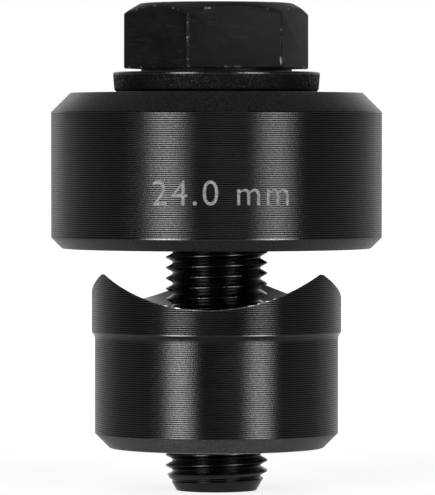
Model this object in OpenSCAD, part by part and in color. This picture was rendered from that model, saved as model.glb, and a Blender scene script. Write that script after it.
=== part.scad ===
// Knockout punch for round holes in sheet metal. A hex-headed draw bolt passes down through a
// thrust washer and a cup-shaped die, and pulls a three-point punch up into the die's mouth.
// It stands on the bolt's end: Z is the bolt's axis, with the bolt's end face at zero.

/* [Draw bolt] */
// Outside diameter of the threaded shank
bolt_d = 9.8; // [8:0.1:11]
// Length of the shank below the head
bolt_length = 40.2; // [38:0.1:60]
// Diameter of the flat at the shank's end
bolt_end_d = 7.7; // [4:0.1:7.8]
// Length of the taper that leads into the thread
bolt_lead = 1.8; // [0.5:0.1:3]
// Width of the hex head across its flats
head_flats = 15.8; // [15:0.1:19]
// Height of the hex head, with its washer face
head_height = 6.6; // [4:0.1:12]
// Diameter of the flat on top of the head
head_top_d = 14.6; // [10:0.1:14.8]
// Slope of the chamfer round the top of the head
head_chamfer_angle = 30; // [15:1:40]
// Diameter of the raised washer face under the head
head_face_d = 14.5; // [12:0.1:14.8]
// Height of the raised washer face
head_face_height = 0.3; // [0.2:0.05:1]
// Turn of the hex about the bolt's axis
head_turn = 12.7; // [0:0.1:60]

/* [Thrust washer] */
// Outside diameter of the washer at its widest
washer_d = 19.9; // [16:0.1:24]
// Thickness of the washer
washer_thickness = 2; // [1.2:0.05:3]
// Radius that the punching rolls over the washer's upper edge
washer_roll = 0.2; // [0.1:0.05:0.5]
// How far the sheared rim draws in from top to bottom
washer_shear = 0.12; // [0.02:0.01:0.3]
// Bevel at the foot of the rim
washer_foot = 0.3; // [0.1:0.05:0.5]
// Clearance of the washer's hole round the shank
washer_clearance = 0.35; // [0.1:0.05:0.6]

/* [Die] */
// Outside diameter of the die
die_d = 31.8; // [29:0.1:40]
// Height of the die
die_height = 14.95; // [12:0.05:20]
// Chamfer round the top of the die
die_top_chamfer = 1.85; // [0.2:0.05:3]
// Chamfer round the die's rim
die_rim_chamfer = 1.05; // [0.2:0.05:2]
// Depth of the cavity that takes the punch
cavity_depth = 9.85; // [5:0.05:10.5]
// Clearance between the cavity wall and the cutting edge
cutting_clearance = 0.1; // [0.05:0.01:0.3]
// Clearance of the die's hole round the shank
die_clearance = 0.35; // [0.1:0.05:0.6]

/* [Punch] */
// Cutting diameter, which is the hole that the punch makes
punch_d = 24; // [22:0.1:26]
// Length of the punch from its flat back to its points
punch_length = 16.8; // [14:0.1:19]
// Length of the cutting diameter, measured down from the points
land_length = 5.7; // [4.2:0.05:6.5]
// How far the body is turned down behind the cutting diameter
body_relief = 0.3; // [0.1:0.05:1]
// Radius of the cove between the cutting diameter and the body
cove_radius = 0.95; // [0.6:0.05:2]
// Chamfer round the back of the punch
back_chamfer = 1.4; // [0.2:0.1:3]
// Length of the threaded hub
hub_length = 9.45; // [6:0.05:10.5]
// Wall left round the recess inside the crown
crown_wall = 2.2; // [1.5:0.1:3]
// Countersink at each end of the threaded bore
bore_countersink = 0.5; // [0.1:0.1:1]
// Running clearance between the bore and the shank
thread_clearance = 0.05; // [0.01:0.01:0.1]

/* [Crown] */
// Number of cutting points
point_count = 3; // [3:1:4]
// Height of the points above the valleys between them
point_rise = 3.2; // [2:0.1:4]
// Height ground off each point to leave it blunt
point_blunt = 0.12; // [0.05:0.01:0.3]
// Inward slope of the hollow-ground valleys
valley_tilt = 18; // [5:1:25]
// Turn of the first valley about the bolt's axis
crown_turn = -94; // [-180:1:180]
// Gap between the die's rim and the points, where the sheet goes
sheet_gap = 2.35; // [1:0.05:4]

/* [Hidden] */

black_steel = [0.10, 0.10, 0.11];
scuffed_steel = [0.15, 0.15, 0.16];
sheared_steel = [0.13, 0.13, 0.13];

// Facets of a full circle, and steps of a small round in a turned profile
$fn = 96;
round_steps = 5;

bolt_r = bolt_d / 2;
head_face_r = head_face_d / 2;
head_corner_r = head_flats / 2 / cos(30);
head_top = bolt_length + head_height;
// How far the turned chamfer runs out past the hex corners
head_overcut = 0.5;

washer_r = washer_d / 2;
washer_top = bolt_length;
washer_bottom = washer_top - washer_thickness;

die_r = die_d / 2;
die_top = washer_bottom;
die_rim = die_top - die_height;
cavity_floor = die_rim + cavity_depth;

punch_r = punch_d / 2;
body_r = punch_r - body_relief;
cavity_r = punch_r + cutting_clearance;
recess_r = punch_r - crown_wall;
bore_r = bolt_r + thread_clearance;

point_top = die_rim - sheet_gap;
punch_back = point_top - punch_length;
valley_bottom = point_top - point_rise;
land_bottom = point_top - land_length;
recess_floor = punch_back + hub_length;

// The cove is an arc that leaves the body along its side and ends at the land's lower edge
cove_sweep = acos(1 - body_relief / cove_radius);
body_top = land_bottom - cove_radius * sin(cove_sweep);

// Each valley is a tilted round scoop. Its radius makes neighbouring scoops meet at a point
// that stands the given rise above the valley, plus what the blunting takes off.
point_half_angle = 180 / point_count;
point_reach = punch_r * sin(point_half_angle);
scoop_rise = (point_rise + point_blunt + punch_r * (1 - cos(point_half_angle)) * tan(valley_tilt))
    * cos(valley_tilt);
scoop_r = (pow(point_reach, 2) + pow(scoop_rise, 2)) / (2 * scoop_rise);
scoop_run_in = punch_r / cos(valley_tilt);
scoop_run_out = scoop_rise;

// Points of an arc about a centre, from one angle to another
function arc(centre, radius, from, to) = [
    for (step = [0:round_steps])
        let (angle = from + (to - from) * step / round_steps)
            centre + radius * [cos(angle), sin(angle)]
];

// Shank with its lead, and the washer face that backs the hex
module bolt_shank() {
    rotate_extrude()
        polygon([
            [0, 0],
            [bolt_end_d / 2, 0],
            [bolt_r, bolt_lead],
            [bolt_r, bolt_length],
            [head_face_r, bolt_length],
            [head_face_r, bolt_length + head_height / 2],
            [0, bolt_length + head_height / 2],
        ]);
}

// Hexagon with its corners turned off at the top
module bolt_head() {
    hex_bottom = bolt_length + head_face_height;
    turned_r = head_corner_r + head_overcut;
    turned_drop = (turned_r - head_top_d / 2) * tan(head_chamfer_angle);
    intersection() {
        translate([0, 0, hex_bottom])
            rotate(head_turn)
                cylinder(r = head_corner_r, h = head_height, $fn = 6);
        rotate_extrude()
            polygon([
                [0, bolt_length],
                [turned_r, bolt_length],
                [turned_r, head_top - turned_drop],
                [head_top_d / 2, head_top],
                [0, head_top],
            ]);
    }
}

module draw_bolt() {
    color(scuffed_steel)
        union() {
            bolt_shank();
            bolt_head();
        }
}

// Blanked from plate: rolled over on top, sheared and drawn in at the side, bevelled at the foot
module thrust_washer() {
    hole_r = bolt_r + washer_clearance;
    foot_r = washer_r - washer_shear;
    roll_centre = [washer_r - washer_roll, washer_top - washer_roll];
    color(sheared_steel)
        rotate_extrude()
            polygon(concat(
                [
                    [hole_r, washer_bottom],
                    [foot_r - washer_foot, washer_bottom],
                    [foot_r, washer_bottom + washer_foot],
                ],
                arc(roll_centre, washer_roll, 0, 90),
                [[hole_r, washer_top]]
            ));
}

// Turned cup with its mouth down, a hole for the bolt through its floor
module die() {
    hole_r = bolt_r + die_clearance;
    color(black_steel)
        rotate_extrude()
            polygon([
                [hole_r, cavity_floor],
                [cavity_r, cavity_floor],
                [cavity_r, die_rim],
                [die_r - die_rim_chamfer, die_rim],
                [die_r, die_rim + die_rim_chamfer],
                [die_r, die_top - die_top_chamfer],
                [die_r - die_top_chamfer, die_top],
                [hole_r, die_top],
            ]);
}

// Turned blank of the punch: threaded hub below, thin-walled crown above
module punch_blank() {
    mouth_r = bore_r + bore_countersink;
    rotate_extrude()
        polygon(concat(
            [
                [bore_r, punch_back + bore_countersink],
                [mouth_r, punch_back],
                [body_r - back_chamfer, punch_back],
                [body_r, punch_back + back_chamfer],
            ],
            arc([body_r + cove_radius, body_top], cove_radius, 180, 180 - cove_sweep),
            [
                [punch_r, point_top],
                [recess_r, point_top],
                [recess_r, recess_floor],
                [mouth_r, recess_floor],
                [bore_r, recess_floor - bore_countersink],
            ]
        ));
}

// Round scoop over one valley, lowest at the rim on +X and falling towards the axis
module valley_scoop() {
    translate([punch_r, 0, valley_bottom])
        rotate([0, -valley_tilt, 0])
            translate([scoop_run_out, 0, scoop_r])
                rotate([0, -90, 0])
                    cylinder(r = scoop_r, h = scoop_run_in + scoop_run_out);
}

module punch() {
    color(black_steel)
        difference() {
            punch_blank();
            for (valley = [0:point_count - 1])
                rotate(crown_turn + 2 * point_half_angle * valley)
                    valley_scoop();
        }
}

draw_bolt();
thrust_washer();
die();
punch();
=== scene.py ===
import math

import bpy
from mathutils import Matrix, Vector


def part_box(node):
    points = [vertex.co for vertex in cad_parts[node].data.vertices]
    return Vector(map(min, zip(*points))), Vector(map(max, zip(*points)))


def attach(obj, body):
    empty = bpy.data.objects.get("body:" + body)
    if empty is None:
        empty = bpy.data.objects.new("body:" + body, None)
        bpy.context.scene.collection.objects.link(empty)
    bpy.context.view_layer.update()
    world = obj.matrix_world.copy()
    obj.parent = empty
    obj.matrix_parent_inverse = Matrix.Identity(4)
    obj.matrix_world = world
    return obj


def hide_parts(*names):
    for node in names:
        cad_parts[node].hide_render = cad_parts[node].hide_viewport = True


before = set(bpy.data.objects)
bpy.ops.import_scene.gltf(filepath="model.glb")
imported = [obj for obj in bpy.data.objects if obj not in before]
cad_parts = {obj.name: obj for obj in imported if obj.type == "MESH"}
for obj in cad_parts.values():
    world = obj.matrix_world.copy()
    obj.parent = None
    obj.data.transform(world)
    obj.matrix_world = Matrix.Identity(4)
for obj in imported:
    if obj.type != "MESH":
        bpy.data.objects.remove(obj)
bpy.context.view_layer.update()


# Draw bolt: the hex-headed bolt that a wrench turns to pull the punch up into the die.
# Forged and black-oxided steel, its thread rolled along the whole shank, its corners worn bright.
# It drops through the washer and the die from above, and its end screws into the punch.
MM = 0.001
bolt_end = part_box("draw_bolt")[0].z
head_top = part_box("draw_bolt")[1].z
head_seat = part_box("thrust_washer")[1].z
bolt_end_r = 3.85 * MM
lead_slope = math.tan(math.radians(30))

thread_pitch = 1.0 * MM
thread_crest_r = 4.9 * MM
thread_root_r = 4.24 * MM
thread_crest_height = 0.885 * MM
crest_round = 0.035 * MM
root_round = 0.06 * MM
flank_slope = math.tan(math.radians(30))
steps_a_turn = 120

head_flats = 15.8 * MM
head_corner_r = head_flats / 2 / math.cos(math.radians(30))
head_turn = math.radians(12.7)
head_top_r = 7.3 * MM
head_chamfer_slope = math.tan(math.radians(30))
head_face_r = 7.25 * MM
head_face_height = 0.3 * MM
head_edge = 0.2 * MM
hex_bottom = head_seat + head_face_height

overcut = 0.5 * MM
weld = 0.001 * MM
sliver = 0.0001 * MM
crease = math.radians(32)


def draw_outline(name, points):
    """A wire of straight strokes through points of radius and height, in the plane of X and Z."""
    bpy.ops.object.select_all(action="DESELECT")
    bpy.ops.mesh.primitive_plane_add(size=MM)
    wire = bpy.context.object
    wire.name = name
    wire.data.name = name
    bpy.ops.object.mode_set(mode="EDIT")
    bpy.ops.mesh.select_all(action="SELECT")
    bpy.ops.mesh.merge(type="CENTER")
    here = Vector((0, 0))
    for number, point in enumerate(points):
        stroke = Vector(point) - here
        move = {"value": (stroke.x, 0, stroke.y)}
        if number == 0:
            bpy.ops.transform.translate(**move)
        else:
            bpy.ops.mesh.extrude_region_move(TRANSFORM_OT_translate=move)
        here = Vector(point)
    bpy.ops.object.mode_set(mode="OBJECT")
    return wire


def close_up(piece):
    """Merges the seams of a swept mesh, drops loose strokes and turns its faces outwards."""
    bpy.context.view_layer.objects.active = piece
    bpy.ops.object.mode_set(mode="EDIT")
    bpy.ops.mesh.select_all(action="SELECT")
    bpy.ops.mesh.remove_doubles(threshold=weld)
    bpy.ops.mesh.delete_loose()
    bpy.ops.mesh.select_all(action="SELECT")
    bpy.ops.mesh.normals_make_consistent(inside=False)
    bpy.ops.object.mode_set(mode="OBJECT")


def turn_on_lathe(name, points, steps=240):
    """A turned piece: the outline of one side, spun once about the bolt's axis."""
    piece = draw_outline(name, points)
    bpy.ops.object.mode_set(mode="EDIT")
    bpy.ops.mesh.select_all(action="SELECT")
    bpy.ops.mesh.spin(steps=steps, angle=2 * math.pi, center=(0, 0, 0), axis=(0, 0, 1))
    bpy.ops.object.mode_set(mode="OBJECT")
    close_up(piece)
    return piece


def roll_thread(name, low, high, grow):
    """A right-hand threaded rod between two heights, grown outwards by a clearance."""
    root_r = thread_root_r + grow
    crest_r = thread_crest_r + grow
    flank = (crest_r - root_r) * flank_slope
    upper_side = [
        (crest_r, crest_round),
        (crest_r - crest_round, 2 * crest_round),
        (root_r + root_round, flank),
        (root_r + 0.3 * root_round, flank + crest_round + root_round / 2),
        (root_r, thread_pitch / 2),
    ]
    tooth = [(radius, -height) for radius, height in reversed(upper_side)] + upper_side
    first = math.floor((low - thread_crest_height) / thread_pitch) - 1
    last = math.ceil((high - thread_crest_height) / thread_pitch) + 1
    start = thread_crest_height + first * thread_pitch
    rod = draw_outline(name, [(radius, start + height) for radius, height in tooth])
    sweep = rod.modifiers.new("sweep", "SCREW")
    sweep.axis = "Z"
    sweep.angle = 2 * math.pi
    sweep.screw_offset = thread_pitch
    sweep.iterations = last - first
    sweep.steps = steps_a_turn
    sweep.render_steps = steps_a_turn
    bpy.ops.object.modifier_apply(modifier=sweep.name)
    close_up(rod)
    bpy.ops.object.mode_set(mode="EDIT")
    for height, side in ((low, -1), (high, 1)):
        bpy.ops.mesh.select_all(action="SELECT")
        bpy.ops.mesh.bisect(
            plane_co=(0, 0, height),
            plane_no=(0, 0, side),
            use_fill=True,
            clear_outer=True,
            threshold=sliver,
        )
    bpy.ops.object.mode_set(mode="OBJECT")
    close_up(rod)
    return rod


def machine(piece, tool, operation):
    """Cuts a piece with a tool, joins the two, or keeps what lies in both. The tool is used up."""
    bpy.ops.object.select_all(action="DESELECT")
    bpy.context.view_layer.objects.active = piece
    piece.select_set(True)
    cut = piece.modifiers.new("cut", "BOOLEAN")
    cut.operation = operation
    cut.solver = "EXACT"
    cut.material_mode = "TRANSFER"
    cut.object = tool
    bpy.ops.object.modifier_apply(modifier=cut.name)
    bpy.data.objects.remove(tool)


def smooth_rounds(piece):
    """Shades the turned and rolled rounds smooth, and leaves the machined edges crisp."""
    bpy.ops.object.select_all(action="DESELECT")
    bpy.context.view_layer.objects.active = piece
    piece.select_set(True)
    bpy.ops.object.shade_smooth_by_angle(angle=crease)


def feed(node, inputs):
    """Gives each named socket of a node its value or its link."""
    for socket, value in inputs.items():
        if isinstance(value, bpy.types.NodeSocket):
            node.id_data.links.new(value, node.inputs[socket])
        else:
            node.inputs[socket].default_value = value


def put(tree, kind, inputs, **settings):
    """Adds a node to a finish, with its settings made and its sockets fed."""
    node = tree.nodes.new(kind)
    for name, value in settings.items():
        setattr(node, name, value)
    feed(node, inputs)
    return node


def start_finish(name):
    """A new finish, with its nodes, its shader and the place on the piece that patterns read."""
    finish = bpy.data.materials.new(name)
    finish.use_nodes = True
    tree = finish.node_tree
    where = put(tree, "ShaderNodeTexCoord", {}).outputs["Object"]
    return finish, tree, tree.nodes["Principled BSDF"], where


def noise(tree, where, scale, detail, roughness):
    """A cloudy grain, scaled in grains a metre."""
    grain = put(
        tree,
        "ShaderNodeTexNoise",
        {"Vector": where, "Scale": scale, "Detail": detail, "Roughness": roughness},
    )
    return grain.outputs["Fac"]


def span(tree, value, low, high, to_low, to_high):
    """Maps a stretch of a pattern's values onto another stretch, and clamps the rest."""
    mapped = put(
        tree,
        "ShaderNodeMapRange",
        {"Value": value, "From Min": low, "From Max": high, "To Min": to_low, "To Max": to_high},
    )
    return mapped.outputs["Result"]


def tones(tree, share, dark, pale):
    """Mixes two colours by a pattern."""
    mixed = put(tree, "ShaderNodeMix", {"Factor": share, "A": dark, "B": pale}, data_type="RGBA")
    return mixed.outputs["Result"]


def relief(tree, height, depth, strength):
    """Raises a pattern from the surface, too fine for the mesh."""
    raised = put(
        tree,
        "ShaderNodeBump",
        {"Height": height, "Distance": depth, "Strength": strength},
    )
    return raised.outputs["Normal"]


# hex: mottled forging scale with fine pits, and scuffs that the wrench leaves across the flats
forged_black, tree, shader, where = start_finish("forged_black")
mottle = noise(tree, where, 420, 8, 0.72)
pits = noise(tree, where, 6500, 2, 0.6)
stretch = put(tree, "ShaderNodeMapping", {"Vector": where, "Scale": (1, 1, 6)})
scuffs = noise(tree, stretch.outputs["Vector"], 600, 6, 0.75)
scale_colour = tones(
    tree,
    span(tree, mottle, 0.35, 0.7, 0.0, 1.0),
    (0.006, 0.006, 0.0062, 1),
    (0.016, 0.016, 0.0164, 1),
)
scuffed = span(tree, scuffs, 0.56, 0.76, 0.0, 1.0)
feed(
    shader,
    {
        "Base Color": tones(tree, scuffed, scale_colour, (0.045, 0.045, 0.046, 1)),
        "Roughness": span(tree, mottle, 0.3, 0.7, 0.36, 0.52),
        "IOR": 1.2,
        "Normal": relief(tree, pits, 0.02 * MM, 0.5),
    },
)

# corners of the hex: the black is rubbed through to bright steel in nicks
worn_corner, tree, shader, where = start_finish("worn_corner")
nicks = noise(tree, where, 1000, 6, 0.75)
rubbed = span(tree, nicks, 0.56, 0.65, 0.0, 1.0)
feed(
    shader,
    {
        "Base Color": tones(tree, rubbed, (0.016, 0.016, 0.0164, 1), (0.44, 0.44, 0.45, 1)),
        "Metallic": rubbed,
        "Roughness": 0.45,
        "IOR": 1.2,
    },
)

# rolled thread: smoother and darker, with a little grain
rolled_black, tree, shader, where = start_finish("rolled_black")
grain = noise(tree, where, 4200, 3, 0.65)
thread_colour = tones(
    tree,
    span(tree, grain, 0.4, 0.75, 0.0, 1.0),
    (0.0008, 0.0008, 0.0009, 1),
    (0.004, 0.004, 0.0042, 1),
)
feed(
    shader,
    {
        "Base Color": thread_colour,
        "Roughness": span(tree, grain, 0.3, 0.7, 0.08, 0.2),
        "IOR": 1.6,
        "Normal": relief(tree, grain, 0.035 * MM, 0.6),
    },
)

draw_bolt = roll_thread("draw_bolt_dressed", bolt_end - thread_pitch / 2, hex_bottom, 0)
draw_bolt.data.materials.append(rolled_black)
lead_r = thread_crest_r + overcut
lead_blank = turn_on_lathe(
    "lead_blank",
    [
        (0, bolt_end),
        (bolt_end_r, bolt_end),
        (lead_r, bolt_end + (lead_r - bolt_end_r) / lead_slope),
        (lead_r, head_top),
        (0, head_top),
    ],
)
lead_blank.data.materials.append(rolled_black)
machine(draw_bolt, lead_blank, "INTERSECT")

bpy.ops.object.select_all(action="DESELECT")
bpy.ops.mesh.primitive_cylinder_add(
    vertices=6,
    radius=head_corner_r,
    depth=head_top - hex_bottom,
    location=(0, 0, (head_top + hex_bottom) / 2),
    rotation=(0, 0, head_turn - math.radians(30)),
)
hex_head = bpy.context.object
bpy.ops.object.transform_apply(location=True, rotation=True, scale=True)
turned_r = head_corner_r + overcut
chamfer_blank = turn_on_lathe(
    "chamfer_blank",
    [
        (0, head_seat),
        (turned_r, head_seat),
        (turned_r, head_top - (turned_r - head_top_r) * head_chamfer_slope),
        (head_top_r, head_top),
        (0, head_top),
    ],
)
machine(hex_head, chamfer_blank, "INTERSECT")
hex_head.data.materials.clear()
hex_head.data.materials.append(forged_black)
hex_head.data.materials.append(worn_corner)
edge_round = hex_head.modifiers.new("edge_round", "BEVEL")
edge_round.limit_method = "ANGLE"
edge_round.angle_limit = math.radians(18)
edge_round.width = head_edge
edge_round.segments = 3
edge_round.material = hex_head.data.materials.find(worn_corner.name)
bpy.context.view_layer.objects.active = hex_head
bpy.ops.object.modifier_apply(modifier=edge_round.name)
washer_face = turn_on_lathe(
    "washer_face",
    [
        (0, head_seat),
        (head_face_r, head_seat),
        (head_face_r, hex_bottom + MM),
        (0, hex_bottom + MM),
    ],
)
washer_face.data.materials.append(forged_black)
machine(hex_head, washer_face, "UNION")
machine(draw_bolt, hex_head, "UNION")
smooth_rounds(draw_bolt)
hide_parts("draw_bolt")
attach(draw_bolt, "bolt")


# Thrust washer: the plain washer that the bolt's head turns on.
# Blanked from black-oxided plate: its top edge is rolled over, its rim grainy from the shear.
# It lies loose on the die, round the bolt.
washer_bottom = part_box("thrust_washer")[0].z
washer_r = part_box("thrust_washer")[1].x
washer_hole_r = 5.25 * MM
washer_roll = 0.2 * MM
washer_roll_steps = 6
washer_shear = 0.12 * MM
washer_foot = 0.3 * MM
washer_edge = 0.08 * MM
skin_run = 0.1 * MM
skin_draw = 0.008 * MM


def ease_corners(points, ease, strokes=4, most=0.4):
    """A closed outline with its corners rounded off over a short run, ended where it began."""
    eased = []
    for number, point in enumerate(points):
        corner = Vector(point)
        back = Vector(points[number - 1]) - corner
        ahead = Vector(points[(number + 1) % len(points)]) - corner
        start = corner + back.normalized() * min(ease, most * back.length)
        end = corner + ahead.normalized() * min(ease, most * ahead.length)
        for stroke in range(strokes + 1):
            along = stroke / strokes
            eased.append(start.lerp(corner, along).lerp(corner.lerp(end, along), along))
    return eased + eased[:1]


def dress_faces(piece, finish, low, high, least_r, most_r):
    """Gives a finish to the faces between two heights and two distances from the axis."""
    if finish.name not in piece.data.materials:
        piece.data.materials.append(finish)
    place = piece.data.materials.find(finish.name)
    for face in piece.data.polygons:
        reach = math.hypot(face.center.x, face.center.y)
        if low < face.center.z < high and least_r < reach < most_r:
            face.material_index = place


# rim of the washer: torn by the shear, with a few smooth grains that glint
sheared_black, tree, shader, where = start_finish("sheared_black")
tears = noise(tree, where, 2300, 5, 0.7)
sparkle = noise(tree, where, 4200, 2, 0.5)
rim_colour = tones(
    tree,
    span(tree, sparkle, 0.5, 0.8, 0.0, 1.0),
    (0.0015, 0.0015, 0.0015, 1),
    (0.012, 0.012, 0.012, 1),
)
feed(
    shader,
    {
        "Base Color": rim_colour,
        "Roughness": span(tree, sparkle, 0.52, 0.64, 0.6, 0.14),
        "IOR": 1.27,
        "Normal": relief(tree, tears, 0.12 * MM, 0.8),
    },
)

# top and rolled edge of the washer: the plate's own smooth black skin
rolled_skin, tree, shader, where = start_finish("rolled_skin")
waves = noise(tree, where, 1800, 4, 0.6)
skin_colour = tones(
    tree,
    span(tree, waves, 0.35, 0.7, 0.0, 1.0),
    (0.002, 0.002, 0.002, 1),
    (0.012, 0.012, 0.012, 1),
)
feed(
    shader,
    {
        "Base Color": skin_colour,
        "Roughness": span(tree, waves, 0.35, 0.65, 0.12, 0.28),
        "IOR": 1.7,
        "Normal": relief(tree, waves, 0.04 * MM, 0.6),
    },
)

foot_r = washer_r - washer_shear
roll_r = washer_r - washer_roll
roll_low = head_seat - washer_roll
skin_low = roll_low - skin_run
washer_side = [
    (washer_hole_r, washer_bottom),
    (foot_r - washer_foot, washer_bottom),
    (foot_r, washer_bottom + washer_foot),
    (washer_r - skin_draw, skin_low),
]
for step in range(washer_roll_steps + 1):
    turn = math.radians(90) * step / washer_roll_steps
    washer_side.append(
        (roll_r + washer_roll * math.cos(turn), roll_low + washer_roll * math.sin(turn))
    )
washer_side.append((washer_hole_r, head_seat))
thrust_washer = turn_on_lathe("thrust_washer_dressed", ease_corners(washer_side, washer_edge))
thrust_washer.data.materials.append(sheared_black)
dress_faces(thrust_washer, rolled_skin, skin_low, head_seat + MM, washer_hole_r, washer_r)
smooth_rounds(thrust_washer)
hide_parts("thrust_washer")
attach(thrust_washer, "die")


# Die: the cup that stands on the sheet, its mouth down, and takes the slug.
# Turned from bar and black-oxided over the turning marks, with its size engraved on the front.
# The bolt passes through the hole in its floor, under the washer.
die_low, die_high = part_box("die")
die_r = die_high.x
die_rim = die_low.z
die_top = die_high.z
die_top_chamfer = 1.85 * MM
die_rim_chamfer = 1.05 * MM
die_hole_r = 5.25 * MM
cavity_r = 12.1 * MM
cavity_depth = 9.85 * MM
cavity_floor = die_rim + cavity_depth
die_edge = 0.08 * MM
die_turn_steps = 320
face_skin = 0.01 * MM
burnish = 0.15 * MM
feed_pitch = 0.2 * MM
cross_feed = 0.55
mark_words = "24.0 mm"
mark_middle = 28.6 * MM
mark_size = 3.36 * MM
mark_spacing = 1.15
mark_depth = 0.1 * MM
mark_half_cut = 0.5 * MM
mark_offset = 0.45 * MM


def reckon(tree, operation, *values):
    """One step of arithmetic on patterns."""
    step = put(tree, "ShaderNodeMath", dict(enumerate(values)), operation=operation)
    return step.outputs["Value"]


def turned_black(name, roughness, ior, groove_depth):
    """Black oxide over a lathe's feed marks: even grooves about the axis, with a fine grain."""
    finish, tree, shader, where = start_finish(name)
    part = put(tree, "ShaderNodeSeparateXYZ", {"Vector": where})
    flat = put(
        tree,
        "ShaderNodeCombineXYZ",
        {"X": part.outputs["X"], "Y": part.outputs["Y"]},
    )
    out = put(tree, "ShaderNodeVectorMath", {0: flat.outputs["Vector"]}, operation="LENGTH")
    along = reckon(tree, "MULTIPLY_ADD", out.outputs["Value"], cross_feed, part.outputs["Z"])
    groove = reckon(tree, "FRACT", reckon(tree, "DIVIDE", along, feed_pitch))
    off_middle = reckon(tree, "MULTIPLY_ADD", groove, 2.0, -1.0)
    scallop = reckon(tree, "MULTIPLY", off_middle, off_middle)
    grain = noise(tree, where, 9000, 1, 0.5)
    cloud = noise(tree, where, 260, 4, 0.6)
    colour = tones(
        tree,
        span(tree, cloud, 0.3, 0.7, 0.0, 1.0),
        (0.0012, 0.0012, 0.0013, 1),
        (0.0028, 0.0028, 0.0029, 1),
    )
    fine = put(
        tree,
        "ShaderNodeBump",
        {
            "Height": grain,
            "Distance": 0.02 * MM,
            "Strength": 0.4,
            "Normal": relief(tree, scallop, groove_depth, 1.0),
        },
    )
    feed(
        shader,
        {
            "Base Color": colour,
            "Roughness": span(tree, cloud, 0.3, 0.7, roughness - 0.02, roughness + 0.02),
            "IOR": ior,
            "Normal": fine.outputs["Normal"],
        },
    )
    return finish


def formed_black(name, roughness, ior, anisotropy, tone, grain_depth):
    """Black oxide over an edge that a form tool left: a grain that runs round, no feed marks."""
    finish, tree, shader, where = start_finish(name)
    grain = noise(tree, where, 6000, 2, 0.6)
    colour = tones(
        tree,
        span(tree, grain, 0.42, 0.6, 0.0, 1.0),
        (0.1 * tone, 0.1 * tone, 0.1 * tone, 1),
        (tone, tone, tone, 1),
    )
    lay = put(tree, "ShaderNodeTangent", {}, direction_type="RADIAL", axis="Z")
    feed(
        shader,
        {
            "Base Color": colour,
            "Roughness": span(tree, grain, 0.35, 0.65, roughness - 0.05, roughness + 0.05),
            "IOR": ior,
            "Anisotropic": anisotropy,
            "Anisotropic Rotation": 0.25,
            "Tangent": lay.outputs["Tangent"],
            "Normal": relief(tree, grain, grain_depth, 1.0),
        },
    )
    return finish


top_edge_r = die_r - die_top_chamfer
rim_edge_r = die_r - die_rim_chamfer
side_low = die_rim + die_rim_chamfer
side_high = die_top - die_top_chamfer
die_side = [
    (die_hole_r, cavity_floor),
    (cavity_r, cavity_floor),
    (cavity_r, die_rim),
    (rim_edge_r, die_rim),
    (die_r, side_low),
    (die_r, side_low + burnish),
    (die_r, side_high),
    (top_edge_r, die_top),
    (die_hole_r, die_top),
]
die = turn_on_lathe("die_dressed", ease_corners(die_side, die_edge), steps=die_turn_steps)
die.data.materials.append(turned_black("die_black", 0.14, 1.58, 0.02 * MM))
die_chamfer_black = formed_black("die_chamfer_black", 0.3, 1.52, 0.3, 0.014, 0.022 * MM)
dress_faces(die, die_chamfer_black, side_high, die_top, top_edge_r, die_r)
dress_faces(die, die_chamfer_black, die_rim, side_low, rim_edge_r, die_r)
faced_black = turned_black("faced_black", 0.36, 1.3, 0.006 * MM)
dress_faces(die, faced_black, die_top - face_skin, die_top + MM, die_hole_r, top_edge_r)
burnished_black = formed_black("burnished_black", 0.1, 2.0, 0.0, 0.004, 0.003 * MM)
dress_faces(die, burnished_black, side_low, side_low + burnish, die_r - burnish, die_r + burnish)

# engraved size: bare steel, dulled by the graver's chatter
engraved_steel, tree, shader, where = start_finish("engraved_steel")
chatter = noise(tree, where, 5200, 3, 0.6)
mark_colour = tones(
    tree,
    span(tree, chatter, 0.35, 0.65, 0.0, 1.0),
    (0.2, 0.2, 0.2, 1),
    (0.6, 0.6, 0.6, 1),
)
feed(shader, {"Base Color": mark_colour, "Roughness": 0.6})

bpy.ops.object.select_all(action="DESELECT")
bpy.ops.object.text_add()
mark = bpy.context.object
mark.data.body = mark_words
mark.data.align_x = "CENTER"
mark.data.align_y = "CENTER"
mark.data.size = mark_size
mark.data.space_character = mark_spacing
mark.data.extrude = mark_half_cut
mark.data.resolution_u = 6
bpy.ops.object.convert(target="MESH")
mark = bpy.context.object
mark.data.materials.clear()
mark.data.materials.append(engraved_steel)
for point in mark.data.vertices:
    turn = (point.co.x + mark_offset) / die_r
    reach = die_r - mark_depth + (point.co.z + mark_half_cut)
    point.co = (reach * math.sin(turn), -reach * math.cos(turn), mark_middle + point.co.y)
close_up(mark)
machine(die, mark, "DIFFERENCE")
smooth_rounds(die)
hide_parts("die")
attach(die, "die")


# Punch: the round cutter that the bolt draws up, with three hollow-ground points on its crown.
# Turned and ground from hardened black-oxided steel, with its hub tapped for the bolt's thread.
# It screws onto the bolt's end, and its points bite into the sheet so that it doesn't turn.
punch_low, punch_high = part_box("punch")
point_top = punch_high.z
punch_back = punch_low.z
punch_r = 12.0 * MM
body_r = 11.7 * MM
land_length = 5.7 * MM
land_bottom = point_top - land_length
cove_r = 0.95 * MM
cove_steps = 5
back_chamfer = 1.4 * MM
recess_r = 9.8 * MM
hub_length = 9.45 * MM
recess_floor = punch_back + hub_length
recess_skin = 0.1 * MM
tap_relief = 0.22 * MM
tapped_r = thread_root_r + tap_relief
bore_mouth_r = 5.45 * MM
tap_clearance = 0.04 * MM
punch_edge = 0.06 * MM
punch_turn_steps = 320
point_count = 3
point_rise = 3.2 * MM
point_blunt = 0.12 * MM
valley_tilt = math.radians(18)
valley_bottom = point_top - point_rise
crown_turn = math.radians(-94)
scoop_facets = 256
rim_worn = 0.06 * MM
rim_faded = 0.11 * MM
wear_full = 1.1 * MM
wear_gone = 1.8 * MM

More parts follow.
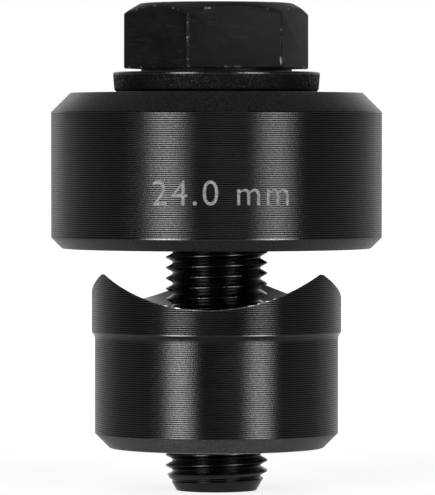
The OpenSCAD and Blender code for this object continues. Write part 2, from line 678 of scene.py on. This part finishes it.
cove_sweep = math.acos(1 - (punch_r - body_r) / cove_r)
body_top = land_bottom - cove_r * math.sin(cove_sweep)
mouth_rise = bore_mouth_r - tapped_r
back_edge_r = body_r - back_chamfer
punch_side = [
    (tapped_r, punch_back + mouth_rise),
    (bore_mouth_r, punch_back),
    (back_edge_r, punch_back),
    (body_r, punch_back + back_chamfer),
]
for step in range(cove_steps + 1):
    sweep = cove_sweep * step / cove_steps
    punch_side.append(
        (body_r + cove_r * (1 - math.cos(sweep)), body_top + cove_r * math.sin(sweep))
    )
punch_side += [
    (punch_r, land_bottom + burnish),
    (punch_r, point_top),
    (recess_r, point_top),
    (recess_r, recess_floor),
    (bore_mouth_r, recess_floor),
    (tapped_r, recess_floor - mouth_rise),
]
punch = turn_on_lathe(
    "punch_dressed",
    ease_corners(punch_side, punch_edge),
    steps=punch_turn_steps,
)
punch.data.materials.append(turned_black("punch_black", 0.13, 1.57, 0.016 * MM))
punch_chamfer_black = formed_black("punch_chamfer_black", 0.42, 1.85, 0.8, 0.065, 0.03 * MM)
chamfer_top = punch_back + back_chamfer
dress_faces(punch, punch_chamfer_black, punch_back, chamfer_top, back_edge_r, body_r)
dress_faces(
    punch,
    turned_black("bored_black", 0.3, 1.4, 0.004 * MM),
    recess_floor + recess_skin,
    point_top,
    recess_r - recess_skin,
    recess_r + recess_skin,
)

tap = roll_thread("tap", punch_back - MM, recess_floor + MM, tap_clearance)
tap.data.materials.append(rolled_black)
machine(punch, tap, "DIFFERENCE")

half_turn = math.pi / point_count
reach = punch_r * math.sin(half_turn)
rise = point_rise + point_blunt + punch_r * (1 - math.cos(half_turn)) * math.tan(valley_tilt)
rise = rise * math.cos(valley_tilt)
scoop_r = (reach**2 + rise**2) / (2 * rise)
scoop_length = punch_r / math.cos(valley_tilt) + rise

# hollow-ground valleys: bare steel with fine scratches from the wheel
ground_steel, tree, shader, where = start_finish("ground_steel")
scratches = noise(tree, where, 3200, 4, 0.65)
steel_colour = tones(
    tree,
    span(tree, scratches, 0.35, 0.65, 0.0, 1.0),
    (0.75, 0.75, 0.75, 1),
    (0.95, 0.95, 0.96, 1),
)
feed(
    shader,
    {
        "Base Color": steel_colour,
        "Metallic": 1.0,
        "Roughness": span(tree, scratches, 0.35, 0.65, 0.3, 0.42),
        "Normal": relief(tree, scratches, 0.01 * MM, 1.0),
    },
)

# cutting land: turned, and worn to bright steel along the rim of each valley.
# A spot's bearing is wrapped to its nearest valley, and its distance from that scoop's axis
# tells how close to the rim it lies.
land_black = turned_black("land_black", 0.14, 1.48, 0.026 * MM)
tree = land_black.node_tree
shader = tree.nodes["Principled BSDF"]
where = tree.nodes["Texture Coordinate"].outputs["Object"]
part = put(tree, "ShaderNodeSeparateXYZ", {"Vector": where})
bearing = reckon(tree, "ARCTAN2", part.outputs["Y"], part.outputs["X"])
off_valley = reckon(
    tree,
    "WRAP",
    reckon(tree, "SUBTRACT", bearing, crown_turn),
    half_turn,
    -half_turn,
)
round_rim = put(
    tree,
    "ShaderNodeCombineXYZ",
    {"X": reckon(tree, "COSINE", off_valley), "Y": reckon(tree, "SINE", off_valley)},
)
upright = put(tree, "ShaderNodeCombineXYZ", {"Z": part.outputs["Z"]})
spot = put(
    tree,
    "ShaderNodeVectorMath",
    {
        0: round_rim.outputs["Vector"],
        1: (punch_r, punch_r, punch_r),
        2: upright.outputs["Vector"],
    },
    operation="MULTIPLY_ADD",
)
scoop_lie = Vector((math.cos(valley_tilt), 0, math.sin(valley_tilt)))
scoop_up = Vector((-math.sin(valley_tilt), 0, math.cos(valley_tilt)))
scoop_middle = Vector((punch_r, 0, valley_bottom)) + scoop_up * scoop_r
offset = put(
    tree,
    "ShaderNodeVectorMath",
    {0: spot.outputs["Vector"], 1: scoop_middle},
    operation="SUBTRACT",
)
arm = put(
    tree,
    "ShaderNodeVectorMath",
    {0: offset.outputs["Vector"], 1: scoop_lie},
    operation="CROSS_PRODUCT",
)
nearest = put(tree, "ShaderNodeVectorMath", {0: arm.outputs["Vector"]}, operation="LENGTH")
rim = span(tree, nearest.outputs["Value"], scoop_r + rim_worn, scoop_r + rim_faded, 1.0, 0.0)
low_rim = span(
    tree,
    part.outputs["Z"],
    valley_bottom + wear_full,
    valley_bottom + wear_gone,
    1.0,
    0.0,
)
chips = span(tree, noise(tree, where, 1500, 4, 0.6), 0.4, 0.55, 0.2, 1.0)
worn = reckon(tree, "MULTIPLY", reckon(tree, "MULTIPLY", rim, low_rim), chips)
turned_colour = shader.inputs["Base Color"].links[0].from_socket
feed(
    shader,
    {
        "Base Color": tones(tree, worn, turned_colour, (0.32, 0.32, 0.33, 1)),
        "Metallic": worn,
    },
)

for valley in range(point_count):
    bpy.ops.object.select_all(action="DESELECT")
    bpy.ops.mesh.primitive_cylinder_add(
        vertices=scoop_facets,
        radius=scoop_r,
        depth=scoop_length,
        location=(rise - scoop_length / 2, 0, scoop_r),
        rotation=(0, math.radians(-90), 0),
    )
    scoop = bpy.context.object
    bpy.ops.object.transform_apply(location=True, rotation=True, scale=True)
    scoop.rotation_euler = (0, -valley_tilt, 0)
    scoop.location = (punch_r, 0, valley_bottom)
    bpy.ops.object.transform_apply(location=True, rotation=True, scale=True)
    scoop.rotation_euler = (0, 0, crown_turn + 2 * half_turn * valley)
    bpy.ops.object.transform_apply(location=True, rotation=True, scale=True)
    scoop.data.materials.append(ground_steel)
    machine(punch, scoop, "DIFFERENCE")
ring_top = land_bottom + burnish
dress_faces(punch, land_black, ring_top, point_top, punch_r - burnish, punch_r + burnish)
dress_faces(punch, burnished_black, land_bottom, ring_top, punch_r - burnish, punch_r + burnish)
dress_faces(
    punch,
    ground_steel,
    punch_back,
    punch_back + 0.7 * punch_edge,
    back_edge_r - punch_edge,
    back_edge_r + punch_edge,
)
smooth_rounds(punch)
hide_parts("punch")
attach(punch, "punch")


# Studio floor: a wide sheet of white acrylic board that the tool stands on.
# It is pale and matt to the eye, takes the tool's soft shadow, and runs out to white.
# In the tool's own gloss it is polished, so that the lamps show in it at a low angle, and it
# carries a painted glow that only the gloss sees, brighter behind the tool than in front of it.
floor_size = 6
bpy.ops.object.select_all(action="DESELECT")
bpy.ops.mesh.primitive_plane_add(size=floor_size, location=(0, 0, 0))
floor = bpy.context.object
floor.name = "floor"
white_board = bpy.data.materials.new("white_board")
white_board.use_nodes = True
tree = white_board.node_tree
tree.nodes.remove(tree.nodes["Principled BSDF"])
ray = put(tree, "ShaderNodeLightPath", {})
glossy = ray.outputs["Is Glossy Ray"]
seen = reckon(tree, "MAXIMUM", ray.outputs["Is Camera Ray"], ray.outputs["Is Transmission Ray"])
place = put(tree, "ShaderNodeTexCoord", {}).outputs["Object"]
depth = put(tree, "ShaderNodeSeparateXYZ", {"Vector": place})
far = put(tree, "ShaderNodeVectorMath", {0: place}, operation="LENGTH")
pale = span(tree, far.outputs["Value"], 0.04, 0.4, 0.76, 1.0)
# painted light for the tool's reflections: the board glows for glossy rays only, brighter behind
# the tool than in front of it
painted_glow_behind = span(tree, depth.outputs["Y"], -0.03, 0.03, 0.05, 0.32)
glow = reckon(tree, "MULTIPLY_ADD", seen, pale, reckon(tree, "MULTIPLY", painted_glow_behind, glossy))
matt = put(tree, "ShaderNodeBsdfDiffuse", {"Color": (0.85, 0.85, 0.85, 1)})
shine = put(tree, "ShaderNodeEmission", {"Strength": glow})
board = put(
    tree,
    "ShaderNodeAddShader",
    {0: matt.outputs["BSDF"], 1: shine.outputs["Emission"]},
)
polish = put(tree, "ShaderNodeBsdfAnisotropic", {"Color": (1, 1, 1, 1), "Roughness": 0.05})
grazing = put(tree, "ShaderNodeFresnel", {"IOR": 1.5})
polished = put(
    tree,
    "ShaderNodeMixShader",
    {
        0: reckon(tree, "MULTIPLY", grazing.outputs["Fac"], glossy),
        1: board.outputs["Shader"],
        2: polish.outputs["BSDF"],
    },
)
feed(tree.nodes["Material Output"], {"Surface": polished.outputs["Shader"]})
floor.data.materials.append(white_board)


# Studio light: two low soft boxes, left and right of the camera, in a pale room.
# Each is brightest down its middle, so that its reflection fades at both sides.
# The room is white behind the tool and dark towards the camera, as in front of a backdrop.
scene = bpy.context.scene
soft_box_width = 0.44
soft_box_height = 0.24
soft_box_foot = 0.005
soft_box_distance = 0.6
for name, side, brightness in (("left_soft_box", -36, 9.6), ("right_soft_box", 40, 7.8)):
    turn = math.radians(side)
    lamp = bpy.data.lights.new(name, "AREA")
    lamp.shape = "RECTANGLE"
    lamp.size = soft_box_width
    lamp.size_y = soft_box_height
    lamp.energy = brightness * math.pi * soft_box_width * soft_box_height
    lamp.use_nodes = True
    tree = lamp.node_tree
    surface = put(tree, "ShaderNodeNewGeometry", {})
    spot = put(tree, "ShaderNodeSeparateXYZ", {"Vector": surface.outputs["Parametric"]})
    swell = reckon(tree, "SINE", reckon(tree, "MULTIPLY", spot.outputs["X"], math.pi))
    feed(tree.nodes["Emission"], {"Strength": reckon(tree, "POWER", swell, 2.0)})
    soft_box = bpy.data.objects.new(name, lamp)
    soft_box.location = (
        soft_box_distance * math.sin(turn),
        -soft_box_distance * math.cos(turn),
        soft_box_foot + soft_box_height / 2,
    )
    soft_box.rotation_euler = (math.radians(90), 0, turn)
    soft_box.visible_camera = False
    scene.collection.objects.link(soft_box)

room = bpy.data.worlds.new("pale_room")
room.use_nodes = True
scene.world = room
tree = room.node_tree
ray = put(tree, "ShaderNodeLightPath", {})
around = put(tree, "ShaderNodeTexCoord", {})
heading = put(tree, "ShaderNodeSeparateXYZ", {"Vector": around.outputs["Generated"]})
behind = span(tree, heading.outputs["Y"], 0.2, 0.45, 0.0, 1.0)
lower = span(tree, heading.outputs["Z"], 0.06, 0.16, 0.24, 0.74)
arch = reckon(
    tree,
    "ADD",
    reckon(tree, "ABSOLUTE", heading.outputs["X"]),
    heading.outputs["Z"],
)
upper = span(tree, arch, 0.65, 1.1, 1.0, 0.15)
backdrop = reckon(tree, "MULTIPLY", behind, reckon(tree, "MULTIPLY", lower, upper))
shown = span(tree, ray.outputs["Is Glossy Ray"], 0.0, 1.0, 0.8, 1.0)
sides = span(tree, heading.outputs["Y"], -0.8, -0.1, 0.01, 0.08)
overhead = span(tree, heading.outputs["Z"], 0.5, 0.95, 0.0, 0.05)
walls = reckon(tree, "ADD", sides, overhead)
plain = tree.nodes["Background"]
feed(
    plain,
    {
        "Color": (1, 1, 1, 1),
        "Strength": reckon(tree, "MULTIPLY_ADD", backdrop, shown, walls),
    },
)
white = put(tree, "ShaderNodeBackground", {"Color": (1, 1, 1, 1), "Strength": 1.0})
seen = reckon(tree, "MAXIMUM", ray.outputs["Is Camera Ray"], ray.outputs["Is Transmission Ray"])
mixed = put(
    tree,
    "ShaderNodeMixShader",
    {0: seen, 1: plain.outputs["Background"], 2: white.outputs["Background"]},
)
feed(tree.nodes["World Output"], {"Surface": mixed.outputs["Shader"]})


# Camera: a long lens in front of the tool, level with the die.
# It looks slightly down, and the bolt's axis stands just left of the picture's middle.
camera_distance = 0.455
camera_height = 0.0332
camera_aim = 0.02333
camera_aside = 0.0000962
eye = bpy.data.cameras.new("camera")
eye.lens = 344
camera = bpy.data.objects.new("camera", eye)
camera.location = (camera_aside, -camera_distance, camera_height)
aim = Vector((camera_aside, 0, camera_aim)) - camera.location
camera.rotation_euler = aim.to_track_quat("-Z", "Y").to_euler()
scene.collection.objects.link(camera)
scene.camera = camera
scene.view_settings.view_transform = "Standard"
